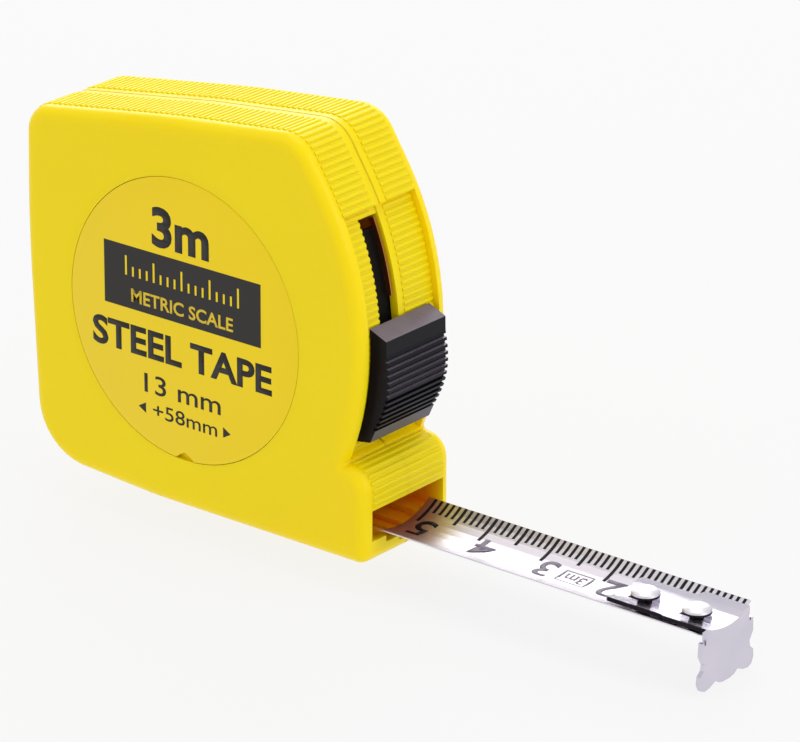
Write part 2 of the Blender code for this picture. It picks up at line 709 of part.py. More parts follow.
def lock_button(mat):
    bm = prism(button_outline(), -BUTTON_HALF, BUTTON_HALF)
    return make_object("lock_button", bm, mat, lock_pivot())


def lock_slider(mat):
    """Curved band behind the front wall with the neck that comes through the slot."""
    outer = INNER_RADIUS - GAP
    band = arc_band(outer - SLIDER_THICK, outer, SLIDER_LOW_DEG, SLIDER_HIGH_DEG, 30)
    obj = make_object("lock_slider", prism(band, -SLIDER_HALF, SLIDER_HALF), mat, lock_pivot())
    neck = arc_band(outer - SLIDER_THICK / 2, TRACK_RADIUS, NECK_LOW_DEG, NECK_HIGH_DEG, 5)
    combine(obj, [prism(neck, -SLOT_WIDTH + GAP, -NECK_SIDE)], 'UNION')
    return obj


def brake_pad(mat):
    outer = INNER_RADIUS - GAP
    band = arc_band(outer - PAD_DEPTH, outer, PAD_LOW_DEG, SLIDER_LOW_DEG - 0.5, 3)
    return make_object("brake_pad", prism(band, -PAD_HALF, PAD_HALF), mat, lock_pivot())


def lock_leaf(mat):
    """Thin bronze leaf standing on edge in the slot, along the right half's wall and beside the neck."""
    low, high = INNER_RADIUS + GAP / 3, INNER_RADIUS + GAP / 3 + LEAF_DEPTH
    band = arc_band(low, high, NECK_HIGH_DEG + 8.0, SLOT_HIGH_DEG - 0.6, 10)
    side = HALF_GAP - GAP - LEAF_THICK
    return make_object("lock_leaf", prism(band, side - LEAF_THICK, side), mat)


def shade_all():
    """Round faces shade smooth and edges sharper than the limit stay crisp."""
    for obj in bpy.data.objects:
        obj.data.shade_smooth()
        obj.data.set_sharp_from_angle(angle=radians(SHARP_DEG))


def build():
    clear_scene()
    yellow = material("yellow_plastic", (0.86, 0.66, 0.02), 0.3)
    label = material("label_plastic", (0.84, 0.64, 0.02), 0.35)
    black = material("black_plastic", (0.02, 0.02, 0.025), 0.45)
    grey = material("reel_plastic", (0.12, 0.12, 0.12), 0.5)
    steel = material("blade_steel", (0.72, 0.71, 0.73), 0.22, 1.0)
    nickel = material("nickel", (0.74, 0.72, 0.76), 0.25, 1.0)
    spring = material("spring_steel", (0.35, 0.36, 0.4), 0.35, 1.0)
    bronze = material("bronze", (0.55, 0.28, 0.13), 0.35, 1.0)
    rubber = material("brake_rubber", (0.03, 0.03, 0.03), 0.8)
    case_left(yellow)
    case_right(yellow)
    label_disc(label)
    case_screws(nickel)
    belt_clip(nickel)
    seat = HALF_WIDTH + 2 * GAP + CLIP_THICK
    screw("clip_screw", REEL_X, REEL_Z, seat, -INNER_HALF + 3 * CUT + 2 * GAP, nickel)
    centre_post(grey)
    reel_drum(grey)
    reel_disc("reel_disc_left", -1, grey)
    reel_disc("reel_disc_right", 1, grey)
    power_spring(spring)
    blade_coil(steel)
    blade_feed(steel)
    blade(steel)
    end_hook(nickel)
    hook_rivets(nickel)
    lock_button(black)
    lock_slider(black)
    brake_pad(rubber)
    lock_leaf(bronze)
    shade_all()


build()
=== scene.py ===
from math import sin, cos, hypot, radians, pi, sqrt
import bpy
import bmesh
from mathutils import Matrix, Vector
from mathutils.bvhtree import BVHTree


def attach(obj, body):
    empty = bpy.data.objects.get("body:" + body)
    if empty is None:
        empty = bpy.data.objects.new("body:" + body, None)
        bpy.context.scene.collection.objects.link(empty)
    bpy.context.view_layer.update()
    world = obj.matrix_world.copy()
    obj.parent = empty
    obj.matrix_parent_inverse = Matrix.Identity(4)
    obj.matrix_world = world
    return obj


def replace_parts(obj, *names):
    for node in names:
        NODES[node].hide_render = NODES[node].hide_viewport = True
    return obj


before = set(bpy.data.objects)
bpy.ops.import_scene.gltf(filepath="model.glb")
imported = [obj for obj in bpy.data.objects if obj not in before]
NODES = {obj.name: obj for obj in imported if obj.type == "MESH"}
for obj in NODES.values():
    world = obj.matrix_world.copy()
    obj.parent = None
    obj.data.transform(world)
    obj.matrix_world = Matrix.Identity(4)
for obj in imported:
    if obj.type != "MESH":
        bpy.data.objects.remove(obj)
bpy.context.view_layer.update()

MM = 0.001

# ---- sizes that the pieces share, in metres
PARTING_Y = 0.002
HALF_WIDTH = 9.0 * MM
FACE_Y = PARTING_Y - HALF_WIDTH
NOSE_X = 17.98 * MM
BLADE_ZERO_X = NOSE_X + 49.9 * MM
REEL_CENTRE = Vector((NOSE_X - 30.218 * MM, 0.0, 26.418 * MM))
TROUGH_HALF_ANGLE = radians(34.3)
TROUGH_RADIUS = 13.0 * MM / (2 * TROUGH_HALF_ANGLE)
BLADE_HALF_THICK = 0.07 * MM
BLADE_TOP_Z = 4.6 * MM - TROUGH_RADIUS * (1 - cos(TROUGH_HALF_ANGLE)) + BLADE_HALF_THICK
PRINT_LIFT = 0.02 * MM
PRINT_THICK = 0.02 * MM
RIB_PITCH = 0.94 * MM
RIB_WIDTH = 0.64 * MM
RIB_PROUD = 0.17 * MM
RIB_SUNK = 0.3 * MM
RIB_ROUND = 0.19 * MM
RIB_IN = 1.33 * MM
RIB_OUT = 7.2 * MM
SLOT_HALF = 3.8 * MM


# ---- shader helpers
class Shader:
    """A material with its Principled shader and a short way to place and join nodes."""

    def __init__(self, name):
        self.mat = bpy.data.materials.new(name)
        self.mat.use_nodes = True
        self.tree = self.mat.node_tree
        self.out = self.tree.nodes["Principled BSDF"]

    def set(self, **values):
        for key, value in values.items():
            self.out.inputs[key.replace("_", " ")].default_value = value
        return self

    def join(self, source, target):
        self.tree.links.new(source, target)

    def place(self, scale=(1, 1, 1)):
        """Object coordinates, stretched, for a pattern fixed to the piece."""
        coords = self.tree.nodes.new("ShaderNodeTexCoord")
        mapping = self.tree.nodes.new("ShaderNodeMapping")
        mapping.inputs["Scale"].default_value = scale
        self.join(coords.outputs["Object"], mapping.inputs["Vector"])
        return mapping.outputs["Vector"]

    def group(self, tree, **inputs):
        node = self.tree.nodes.new("ShaderNodeGroup")
        node.node_tree = tree
        for key, value in inputs.items():
            node.inputs[key.replace("_", " ")].default_value = value
        return node


def new_group(name, inputs, outputs):
    tree = bpy.data.node_groups.new(name, "ShaderNodeTree")
    for label, kind, value in inputs:
        socket = tree.interface.new_socket(label, in_out="INPUT", socket_type=kind)
        if value is not None:
            socket.default_value = value
    for label, kind in outputs:
        tree.interface.new_socket(label, in_out="OUTPUT", socket_type=kind)
    return tree, tree.nodes.new("NodeGroupInput"), tree.nodes.new("NodeGroupOutput")


def moulding_group():
    """Fine unevenness of a moulded or rolled surface: shifts the colour and roughness and gives a bump."""
    tree, inside, out = new_group(
        "surface_unevenness",
        [
            ("Vector", "NodeSocketVector", None), ("Colour", "NodeSocketColor", (1, 1, 1, 1)),
            ("Deep Colour", "NodeSocketColor", (1, 1, 1, 1)), ("Patch Scale", "NodeSocketFloat", 60.0),
            ("Grain Scale", "NodeSocketFloat", 2500.0), ("Rough Low", "NodeSocketFloat", 0.2),
            ("Rough High", "NodeSocketFloat", 0.3), ("Bump", "NodeSocketFloat", 0.02),
        ],
        [("Colour", "NodeSocketColor"), ("Roughness", "NodeSocketFloat"), ("Normal", "NodeSocketVector")],
    )
    nodes, link = tree.nodes, tree.links.new
    patch = nodes.new("ShaderNodeTexNoise")
    patch.inputs["Detail"].default_value = 2.0
    grain = nodes.new("ShaderNodeTexNoise")
    grain.inputs["Detail"].default_value = 4.0
    blend = nodes.new("ShaderNodeMix")
    blend.data_type = "RGBA"
    rough = nodes.new("ShaderNodeMapRange")
    bump = nodes.new("ShaderNodeBump")
    bump.inputs["Distance"].default_value = 0.00005
    link(inside.outputs["Vector"], patch.inputs["Vector"])
    link(inside.outputs["Vector"], grain.inputs["Vector"])
    link(inside.outputs["Patch Scale"], patch.inputs["Scale"])
    link(inside.outputs["Grain Scale"], grain.inputs["Scale"])
    link(patch.outputs["Fac"], blend.inputs["Factor"])
    link(inside.outputs["Colour"], blend.inputs["A"])
    link(inside.outputs["Deep Colour"], blend.inputs["B"])
    link(grain.outputs["Fac"], rough.inputs["Value"])
    link(inside.outputs["Rough Low"], rough.inputs["To Min"])
    link(inside.outputs["Rough High"], rough.inputs["To Max"])
    link(grain.outputs["Fac"], bump.inputs["Height"])
    link(inside.outputs["Bump"], bump.inputs["Strength"])
    link(blend.outputs["Result"], out.inputs["Colour"])
    link(rough.outputs["Result"], out.inputs["Roughness"])
    link(bump.outputs["Normal"], out.inputs["Normal"])
    return tree


UNEVEN = moulding_group()


def surface(
    name, colour, deep, scale=(1, 1, 1), rough=(0.2, 0.3), patch=60.0, grain=2500.0, bump=0.05, **fixed
):
    """A material whose colour, roughness and bump come from the shared unevenness."""
    s = Shader(name).set(**fixed)
    uneven = s.group(
        UNEVEN, Colour=(*colour, 1), Deep_Colour=(*deep, 1), Patch_Scale=patch, Grain_Scale=grain,
        Rough_Low=rough[0], Rough_High=rough[1], Bump=bump,
    )
    s.join(s.place(scale), uneven.inputs["Vector"])
    s.join(uneven.outputs["Colour"], s.out.inputs["Base Color"])
    s.join(uneven.outputs["Roughness"], s.out.inputs["Roughness"])
    s.join(uneven.outputs["Normal"], s.out.inputs["Normal"])
    return s.mat


def case_yellow():
    """Translucent yellow moulding, with painted shade: deeper and more orange inside the mouth."""
    mat = surface(
        "case_yellow", (0.97, 0.735, 0.003), (0.94, 0.69, 0.002), rough=(0.26, 0.34), bump=0.04,
        Specular_IOR_Level=0.18, Subsurface_Weight=0.3, Subsurface_Radius=(1.0, 0.62, 0.05),
        Subsurface_Scale=2.2 * MM,
    )
    tree = mat.node_tree
    out = tree.nodes["Principled BSDF"]
    plain = out.inputs["Base Color"].links[0].from_socket
    coords = tree.nodes.new("ShaderNodeTexCoord")
    split = tree.nodes.new("ShaderNodeSeparateXYZ")
    tree.links.new(coords.outputs["Object"], split.inputs["Vector"])
    painted_shade_mask = None
    # The box round the inside of the mouth that takes the painted shade, each limit as (axis, outside,
    # inside).
    limits = (
        ("X", NOSE_X - 0.2 * MM, NOSE_X - 3.0 * MM), ("X", NOSE_X - 16.0 * MM, NOSE_X - 12.0 * MM),
        ("Z", 7.6 * MM, 7.45 * MM), ("Z", 1.2 * MM, 1.5 * MM),
        ("Y", FACE_Y + 1.5 * MM, FACE_Y + 1.7 * MM),
        ("Y", PARTING_Y + HALF_WIDTH - 1.5 * MM, PARTING_Y + HALF_WIDTH - 1.7 * MM),
    )
    for axis, outside, inside in limits:
        ramp = tree.nodes.new("ShaderNodeMapRange")
        ramp.inputs["From Min"].default_value = outside
        ramp.inputs["From Max"].default_value = inside
        tree.links.new(split.outputs[axis], ramp.inputs["Value"])
        if painted_shade_mask is None:
            painted_shade_mask = ramp.outputs["Result"]
            continue
        both = tree.nodes.new("ShaderNodeMath")
        both.operation = "MULTIPLY"
        tree.links.new(painted_shade_mask, both.inputs[0])
        tree.links.new(ramp.outputs["Result"], both.inputs[1])
        painted_shade_mask = both.outputs["Value"]
    # Painted shade: inside the mouth's box the yellow is mixed towards orange.
    shade = tree.nodes.new("ShaderNodeMix")
    shade.data_type = "RGBA"
    shade.inputs["B"].default_value = (0.85, 0.33, 0.004, 1)
    tree.links.new(painted_shade_mask, shade.inputs["Factor"])
    tree.links.new(plain, shade.inputs["A"])
    tree.links.new(shade.outputs["Result"], out.inputs["Base Color"])
    return mat


YELLOW = case_yellow()
LABEL = surface(
    "label_yellow", (0.92, 0.68, 0.005), (0.88, 0.63, 0.003), rough=(0.34, 0.42), grain=4000.0, bump=0.03,
    Specular_IOR_Level=0.28,
)
BLACK = surface(
    "button_black", (0.004, 0.003, 0.006), (0.007, 0.006, 0.010), rough=(0.34, 0.46), grain=5000.0, bump=0.2,
    Specular_IOR_Level=0.12,
)
# Painted highlight: a paler black for the button's upward faces, standing in for the sheen of the top light.
BUTTON_PAINTED_SHEEN = surface(
    "button_top_painted_sheen", (0.17, 0.14, 0.18), (0.10, 0.08, 0.11), rough=(0.24, 0.34), patch=260.0, grain=5000.0,
    bump=0.2, Specular_IOR_Level=0.5,
)
# Painted highlight: a paler black for the button's forward-facing foot.
BUTTON_FOOT_PAINTED_SHEEN = surface(
    "button_foot_painted_sheen", (0.085, 0.075, 0.09), (0.06, 0.05, 0.065), rough=(0.3, 0.4), patch=260.0,
    grain=5000.0, bump=0.2, Specular_IOR_Level=0.3,
)
BAND_BLACK = surface(
    "band_black", (0.004, 0.003, 0.003), (0.007, 0.006, 0.006), rough=(0.55, 0.7), grain=5000.0, bump=0.2,
    Specular_IOR_Level=0.12,
)
STEEL = surface(
    "blade_steel", (0.66, 0.618, 0.668), (0.60, 0.562, 0.615), (1, 40, 40), rough=(0.32, 0.42),
    patch=25.0, grain=120.0, bump=0.03, Metallic=1.0,
)
NICKEL = surface(
    "nickel_plate", (0.70, 0.66, 0.75), (0.58, 0.55, 0.64), rough=(0.16, 0.26), patch=180.0, grain=3000.0,
    bump=0.08, Metallic=1.0,
)
# Painted dark reflection: near-black metal on edge faces, in place of dark surroundings that they would
# mirror.
PAINTED_DARK_REFLECTION = surface(
    "painted_dark_reflection", (0.035, 0.032, 0.036), (0.02, 0.018, 0.02), rough=(0.3, 0.45), patch=900.0, bump=0.2,
    Metallic=1.0,
)
DARK_STEEL = surface(
    "spring_blue_steel", (0.26, 0.27, 0.32), (0.18, 0.19, 0.24), rough=(0.25, 0.35), Metallic=1.0,
)
BRONZE = surface("bronze_leaf", (0.62, 0.24, 0.08), (0.44, 0.15, 0.05), rough=(0.25, 0.4), Metallic=1.0)
REEL_GREY = surface("reel_grey", (0.06, 0.06, 0.06), (0.04, 0.04, 0.04), rough=(0.45, 0.6), bump=0.15)
RUBBER = surface("brake_rubber", (0.02, 0.02, 0.02), (0.03, 0.03, 0.03), rough=(0.7, 0.85), bump=0.3)
INK = surface(
    "black_ink", (0.016, 0.014, 0.012), (0.024, 0.021, 0.017), rough=(0.4, 0.5), grain=6000.0, bump=0.05,
    Specular_IOR_Level=0.3,
)
BLADE_INK = surface(
    "blade_ink", (0.006, 0.005, 0.007), (0.012, 0.010, 0.013), rough=(0.45, 0.55), grain=6000.0,
    bump=0.05, Specular_IOR_Level=0.15,
)
FIGURE_INK = surface(
    "blade_figure_ink", (0.17, 0.145, 0.20), (0.24, 0.21, 0.27), rough=(0.4, 0.5), patch=4000.0,
    bump=0.05, Specular_IOR_Level=0.3,
)

FINISHES = {
    "case_left": YELLOW, "case_right": YELLOW, "label_disc": LABEL, "belt_clip": NICKEL, "clip_screw": NICKEL,
    "centre_post": REEL_GREY, "blade_feed": STEEL, "reel_drum": REEL_GREY, "reel_disc_left": REEL_GREY,
    "reel_disc_right": REEL_GREY, "blade_coil": STEEL, "power_spring": DARK_STEEL, "blade": STEEL,
    "hook_rivet_1": NICKEL, "hook_rivet_2": NICKEL, "end_hook": NICKEL, "lock_button": BLACK,
    "lock_slider": BAND_BLACK, "brake_pad": RUBBER, "lock_leaf": BRONZE,
    "case_screw_1": NICKEL, "case_screw_2": NICKEL, "case_screw_3": NICKEL, "case_screw_4": NICKEL,
}
for node_name, finish in FINISHES.items():
    NODES[node_name].data.materials.clear()
    NODES[node_name].data.materials.append(finish)


# ---- mesh helpers
def piece(name, bm, mat, body, smooth=0.0):
    """A finished piece: at the origin, its place in its mesh, riding on a body."""
    mesh = bpy.data.meshes.new(name)
    bmesh.ops.recalc_face_normals(bm, faces=bm.faces)
    bm.to_mesh(mesh)
    bm.free()
    obj = bpy.data.objects.new(name, mesh)
    bpy.context.scene.collection.objects.link(obj)
    mesh.materials.append(mat)
    if smooth:
        mesh.shade_smooth()
        mesh.set_sharp_from_angle(angle=radians(smooth))
    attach(obj, body)
    return obj


def box_mesh(bm, low, high):
    """A cuboid between two corners, added to a mesh."""
    size = Vector(high) - Vector(low)
    middle = (Vector(high) + Vector(low)) / 2
    place = Matrix.Translation(middle) @ Matrix.Diagonal((*size, 1))
    bmesh.ops.create_cube(bm, size=1.0, matrix=place)


def merged_copy(node):
    """A welded copy of a CAD node's mesh."""
    bm = bmesh.new()
    bm.from_mesh(NODES[node].data)
    bmesh.ops.remove_doubles(bm, verts=bm.verts, dist=1e-6)
    return bm


def smooth_stand_in(node, name, mat, body, angle):
    """The CAD shape welded and shaded smooth, so that its round faces show no facets."""
    obj = piece(name, merged_copy(node), mat, body, angle)
    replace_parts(obj, node)
    return obj


def keep_flats_flat(mesh, bend):
    """Weighs each corner's normal by the area of the faces that meet there within a bend."""
    around = [[] for _ in mesh.vertices]
    for face in mesh.polygons:
        for v in face.vertices:
            around[v].append((face.normal.copy(), face.area))
    nearly, corners = cos(radians(bend)), []
    for face in mesh.polygons:
        for v in face.vertices:
            total = Vector()
            for normal, area in around[v]:
                if normal.dot(face.normal) > nearly:
                    total += normal * area
            corners.append(total.normalized())
    mesh.normals_split_custom_set(corners)


# ---- case: the two halves, shaded smooth
SHELL_BEND = 32
for shell_node in ("case_left", "case_right"):
    shell = smooth_stand_in(shell_node, shell_node + "_shell", YELLOW, "case", SHELL_BEND)
    keep_flats_flat(shell.data, SHELL_BEND)


def rim_line(node, y):
    """The outer outline of a half at y, as (x, z) in order, read from a cut through its welded mesh."""
    bm = merged_copy(node)
    geom = bm.verts[:] + bm.edges[:] + bm.faces[:]
    cut = bmesh.ops.bisect_plane(bm, geom=geom, plane_co=(0, y, 0), plane_no=(0, 1, 0), dist=1e-7)
    edges = [e for e in cut["geom_cut"] if isinstance(e, bmesh.types.BMEdge)]
    near = {}
    for e in edges:
        for a, b in (e.verts, reversed(e.verts)):
            near.setdefault(a, []).append(b)
    start = max(near, key=lambda v: v.co.z)
    line, last, here = [start], None, start
    while True:
        onward = [v for v in near[here] if v is not last and v is not here]
        if not onward or onward[0] is start:
            break
        last, here = here, onward[0]
        line.append(here)
        if len(line) > len(near):
            break
    points = [Vector((v.co.x, v.co.z)) for v in line]
    bm.free()
    return points


def even_stations(points, pitch):
    """Points a pitch apart round a closed line, each with its outward direction."""
    closed = points + [points[0]]
    area = sum(a.x * b.y - b.x * a.y for a, b in zip(closed, closed[1:])) / 2
    total = sum((b - a).length for a, b in zip(closed, closed[1:]))
    count = int(total / pitch)
    step, travelled, target, found = total / count, 0.0, 0.0, []
    for a, b in zip(closed, closed[1:]):
        length = (b - a).length
        while length > 1e-9 and target < travelled + length and len(found) < count:
            along = (b - a) / length
            outward = Vector((along.y, -along.x)) * (1 if area > 0 else -1)
            found.append((a + along * (target - travelled), outward))
            target += step
        travelled += length
    return found


RIM = rim_line("case_left", PARTING_Y - 7.62 * MM)
STATIONS = even_stations(RIM, RIB_PITCH)
WALLS = {side: BVHTree.FromBMesh(merged_copy(node)) for side, node in ((-1, "case_left"), (1, "case_right"))}
RECESS = 1.35 * MM
NOSE_TOP = 13.4 * MM
BASE_CLEAR = 2.6 * MM
LIP_TOP = 7.9 * MM
MOUTH_TOP = 7.55 * MM


def surface_at(side, point, outward, across):
    """The case's surface and its normal below a rim point, across from the parting, or None at a hole."""
    reach = 2.0 * MM
    start = Vector((point.x + outward.x * reach, PARTING_Y + side * across, point.y + outward.y * reach))
    hit, normal, _, distance = WALLS[side].ray_cast(start, Vector((-outward.x, 0, -outward.y)), 2 * reach)
    if hit is None or distance > reach + RECESS:
        return None
    return hit, normal


def on_nose(point):
    return point.x > NOSE_X - 9 * MM and point.y < NOSE_TOP


def rib_template(y_low, y_high):
    """One half-round rib along Y, centred at the origin, its crown up."""
    bm = bmesh.new()
    box_mesh(bm, (-RIB_WIDTH / 2, y_low, -RIB_SUNK), (RIB_WIDTH / 2, y_high, RIB_PROUD))
    upper = [e for e in bm.edges if all(v.co.z > 0 for v in e.verts)]
    crown = [e for e in upper if abs(e.verts[0].co.y - e.verts[1].co.y) > MM]
    bmesh.ops.bevel(bm, geom=crown, offset=RIB_ROUND, affect="EDGES", segments=2, profile=0.5, material=-1)
    mesh = bpy.data.meshes.new("rib_pattern")
    bm.to_mesh(mesh)
    bm.free()
    return mesh


def add_rib(bm, patterns, key, hit, normal):
    """Sets one rib on the surface, its crown along the surface's normal."""
    if key not in patterns:
        patterns[key] = rib_template(*key)
    first = len(bm.verts)
    bm.from_mesh(patterns[key])
    bm.verts.ensure_lookup_table()
    up = Vector((normal.x, 0, normal.z)).normalized()
    side = Vector((0, 1, 0)).cross(up)
    turn = Matrix((side, Vector((0, 1, 0)), up)).transposed().to_4x4()
    place = Matrix.Translation((hit.x, 0, hit.z)) @ turn
    bmesh.ops.transform(bm, matrix=place, verts=bm.verts[first:])


def rib_band(side):
    """All the ribs of one half, stopping short of the slot, the base and the mouth."""
    bm, patterns = bmesh.new(), {}
    for point, outward in STATIONS:
        if point.y < BASE_CLEAR or (point.x > NOSE_X - 3 * MM and point.y < LIP_TOP):
            continue
        far = surface_at(side, point, outward, 5.5 * MM)
        near = surface_at(side, point, outward, 2.4 * MM)
        if far is None:
            continue
        inner = 0.0 if on_nose(point) else RIB_IN if near is not None else SLOT_HALF
        ends = sorted((PARTING_Y + side * inner, PARTING_Y + side * RIB_OUT))
        add_rib(bm, patterns, tuple(ends), *far)
    return bm


for rib_side, rib_name in ((-1, "rim_ribs_left"), (1, "rim_ribs_right")):
    piece(rib_name, rib_band(rib_side), YELLOW, "case", 50)


BEAD_ON_NOSE = (0.16 * MM, 0.299 * MM)
BEAD_ELSEWHERE = (0.21 * MM, 0.26 * MM)
BEAD_LONG = 0.6 * MM
BEAD_DEEP = 0.3 * MM


def parting_line(nose):
    """A thin bead that closes the gap between the halves, flush on the nose and sunk elsewhere."""
    bm = bmesh.new()
    for point, outward in even_stations(RIM, 0.5 * MM):
        if on_nose(point) != nose or (point.x > NOSE_X - 3 * MM and point.y < MOUTH_TOP):
            continue
        hits = [surface_at(side, point, outward, 0.6 * MM) for side in (-1, 1)]
        if None in hits:
            continue
        hit, normal = hits[1]
        up = Vector((normal.x, 0, normal.z)).normalized()
        along = Vector((0, 1, 0)).cross(up)
        turn = Matrix((along, Vector((0, 1, 0)), up)).transposed().to_4x4()
        sunk, wide = BEAD_ON_NOSE if nose else BEAD_ELSEWHERE
        centre = Vector((hit.x, PARTING_Y, hit.z)) - up * sunk
        place = Matrix.Translation(centre) @ turn @ Matrix.Diagonal((BEAD_LONG, wide, BEAD_DEEP, 1))
        bmesh.ops.create_cube(bm, size=1.0, matrix=place)
    return bm


SEAM = surface(
    "parting_shade", (0.78, 0.53, 0.004), (0.72, 0.48, 0.004), rough=(0.4, 0.5), Specular_IOR_Level=0.2,
)
piece("parting_bead", parting_line(False), SEAM, "case")
piece("nose_bead", parting_line(True), YELLOW, "case")

# ---- hook and rivets: bright faces, with painted dark reflection on the plate's sheared edge and the rivets' rolled rims
RIVET_NICKEL = surface(
    "rivet_nickel", (0.88, 0.86, 0.89), (0.76, 0.74, 0.78), rough=(0.38, 0.5), patch=900.0, grain=3000.0,
    bump=0.2, Metallic=1.0,
)


def dark_edges(node, name, body, bright, is_edge):
    """A smooth stand-in whose edge faces take the painted dark reflection."""
    obj = smooth_stand_in(node, name, bright, body, 16)
    obj.data.materials.append(PAINTED_DARK_REFLECTION)
    for face in obj.data.polygons:
        face.material_index = int(is_edge(face))
    return obj


PLATE_LOW_Z = 3.0 * MM
RIVET_RIM_Z = 4.45 * MM


def plate_edge(face):
    """The hook plate's sheared near edge, short of the claw."""
    return face.normal.y < -0.55 and face.center.z > PLATE_LOW_Z and face.center.x < BLADE_ZERO_X


def rivet_rim(face):
    """The upright rim under a rivet's dome."""
    return abs(face.normal.z) < 0.3 and face.center.z < RIVET_RIM_Z


dark_edges("end_hook", "end_hook_plate", "hook", NICKEL, plate_edge)
for rivet in ("hook_rivet_1", "hook_rivet_2"):
    dark_edges(rivet, rivet + "_head", "blade", RIVET_NICKEL, rivet_rim)

# ---- lock button: its sloping top, the upward faces of its upper ribs and its foot carry a painted sheen, the rest of the ribs stays black
FRONT_CENTRE = Vector((NOSE_X - 39.106 * MM, 28.583 * MM))
BUTTON_TRACK = 37.406 * MM
BUTTON_WALL = 0.5 * MM
PAINTED_SHEEN_LOW = -6.0 * MM
FOOT_HIGH = -10.5 * MM
FACES_UP = 0.8
button = smooth_stand_in("lock_button", "lock_button_cap", BLACK, "lock", 20)
button.data.materials.append(BUTTON_PAINTED_SHEEN)
button.data.materials.append(BUTTON_FOOT_PAINTED_SHEEN)
for face in button.data.polygons:
    out_x, out_z = face.center.x - FRONT_CENTRE.x, face.center.z - FRONT_CENTRE.y
    proud = hypot(out_x, out_z) - BUTTON_TRACK
    if abs(face.normal.y) > 0.5 or proud < BUTTON_WALL:
        continue
    # Painted highlight on the upward faces high on the button.
    if face.normal.z > FACES_UP and out_z > PAINTED_SHEEN_LOW:
        face.material_index = 1
    # Painted highlight on the forward-facing foot.
    elif face.normal.x > FACES_UP and out_z < FOOT_HIGH:
        face.material_index = 2

# ---- label: a thin disc that nearly fills its recess, with the small notch at its foot
LABEL_RADIUS = 19.42 * MM
LABEL_NOTCH = 1.0 * MM


def label_mesh():
    bm = bmesh.new()
    bmesh.ops.create_circle(bm, segments=160, radius=LABEL_RADIUS, cap_ends=True)
    for v in bm.verts:
        dip = (v.co - Vector((0, -LABEL_RADIUS, 0))).length
        if dip < LABEL_NOTCH:
            v.co.y += sqrt(LABEL_NOTCH ** 2 - dip ** 2)
    grown = bmesh.ops.extrude_face_region(bm, geom=bm.faces[:])
    front = [g for g in grown["geom"] if isinstance(g, bmesh.types.BMVert)]
    bmesh.ops.translate(bm, vec=(0, 0, 0.33 * MM), verts=front)
    ring = [e for e in bm.edges if all(v in front for v in e.verts)]
    bmesh.ops.bevel(bm, geom=ring, offset=0.08 * MM, affect="EDGES", segments=2, profile=0.5, material=-1)
    turn = Matrix.Rotation(radians(90), 4, "X")
    place = Matrix.Translation((REEL_CENTRE.x, FACE_Y + 0.33 * MM, REEL_CENTRE.z))
    bmesh.ops.transform(bm, matrix=place @ turn, verts=bm.verts)
    return bm


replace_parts(piece("label_face", label_mesh(), LABEL, "case", 40), "label_disc")

# ---- print on the label
PRINT_Y = FACE_Y - PRINT_LIFT


def text_mesh(words, size, weight=0.0, stretch=1.0, spacing=1.0):
    """Flat lettering in XY, centred on its own box, as a mesh of a given cap height."""
    curve = bpy.data.curves.new(words, "FONT")
    curve.body = words
    curve.size = 1.0
    curve.offset = weight
    curve.space_character = spacing
    curve.resolution_u = 4
    obj = bpy.data.objects.new("lettering", curve)
    bpy.context.scene.collection.objects.link(obj)
    bpy.context.view_layer.update()
    flat = bpy.data.meshes.new_from_object(obj.evaluated_get(bpy.context.evaluated_depsgraph_get()))
    bpy.data.objects.remove(obj, do_unlink=True)
    bm = bmesh.new()
    bm.from_mesh(flat)
    bmesh.ops.remove_doubles(bm, verts=bm.verts, dist=1e-5)
    xs = [v.co.x for v in bm.verts]
    ys = [v.co.y for v in bm.verts]
    middle = Vector(((min(xs) + max(xs)) / 2, (min(ys) + max(ys)) / 2, 0))
    scale = size / (max(ys) - min(ys))
    bmesh.ops.translate(bm, vec=-middle, verts=bm.verts)
    bmesh.ops.scale(bm, vec=(scale * stretch, scale, 1), verts=bm.verts)
    return bm


def thicken(bm, amount):
    """Gives flat print its thin film of ink."""
    for face in bm.faces:
        if face.normal.z < 0:
            face.normal_flip()
    grown = bmesh.ops.extrude_face_region(bm, geom=bm.faces[:])
    raised = [v for v in grown["geom"] if isinstance(v, bmesh.types.BMVert)]
    bmesh.ops.translate(bm, vec=(0, 0, amount), verts=raised)
    return bm


def on_label(bm, x, z):
    """Stands flat XY print up on the label's face, at x and z from its centre."""
    turn = Matrix.Rotation(radians(90), 4, "X")
    place = Matrix.Translation((REEL_CENTRE.x + x, PRINT_Y + PRINT_LIFT, REEL_CENTRE.z + z))
    bmesh.ops.transform(bm, matrix=place @ turn, verts=bm.verts)
    return bm


def label_words(name, words, x, z, size, **how):
    print_mesh = thicken(text_mesh(words, size, **how), PRINT_THICK)
    return piece(name, on_label(print_mesh, x, z), INK, "case")


def flat_box(bm, x_low, x_high, y_low, y_high):
    made = bmesh.ops.create_grid(bm, x_segments=1, y_segments=1, size=0.5)
    middle = Vector(((x_low + x_high) / 2, (y_low + y_high) / 2, 0))
    grow = Matrix.Diagonal((x_high - x_low, y_high - y_low, 1, 1))
    bmesh.ops.transform(bm, matrix=Matrix.Translation(middle) @ grow, verts=made["verts"])


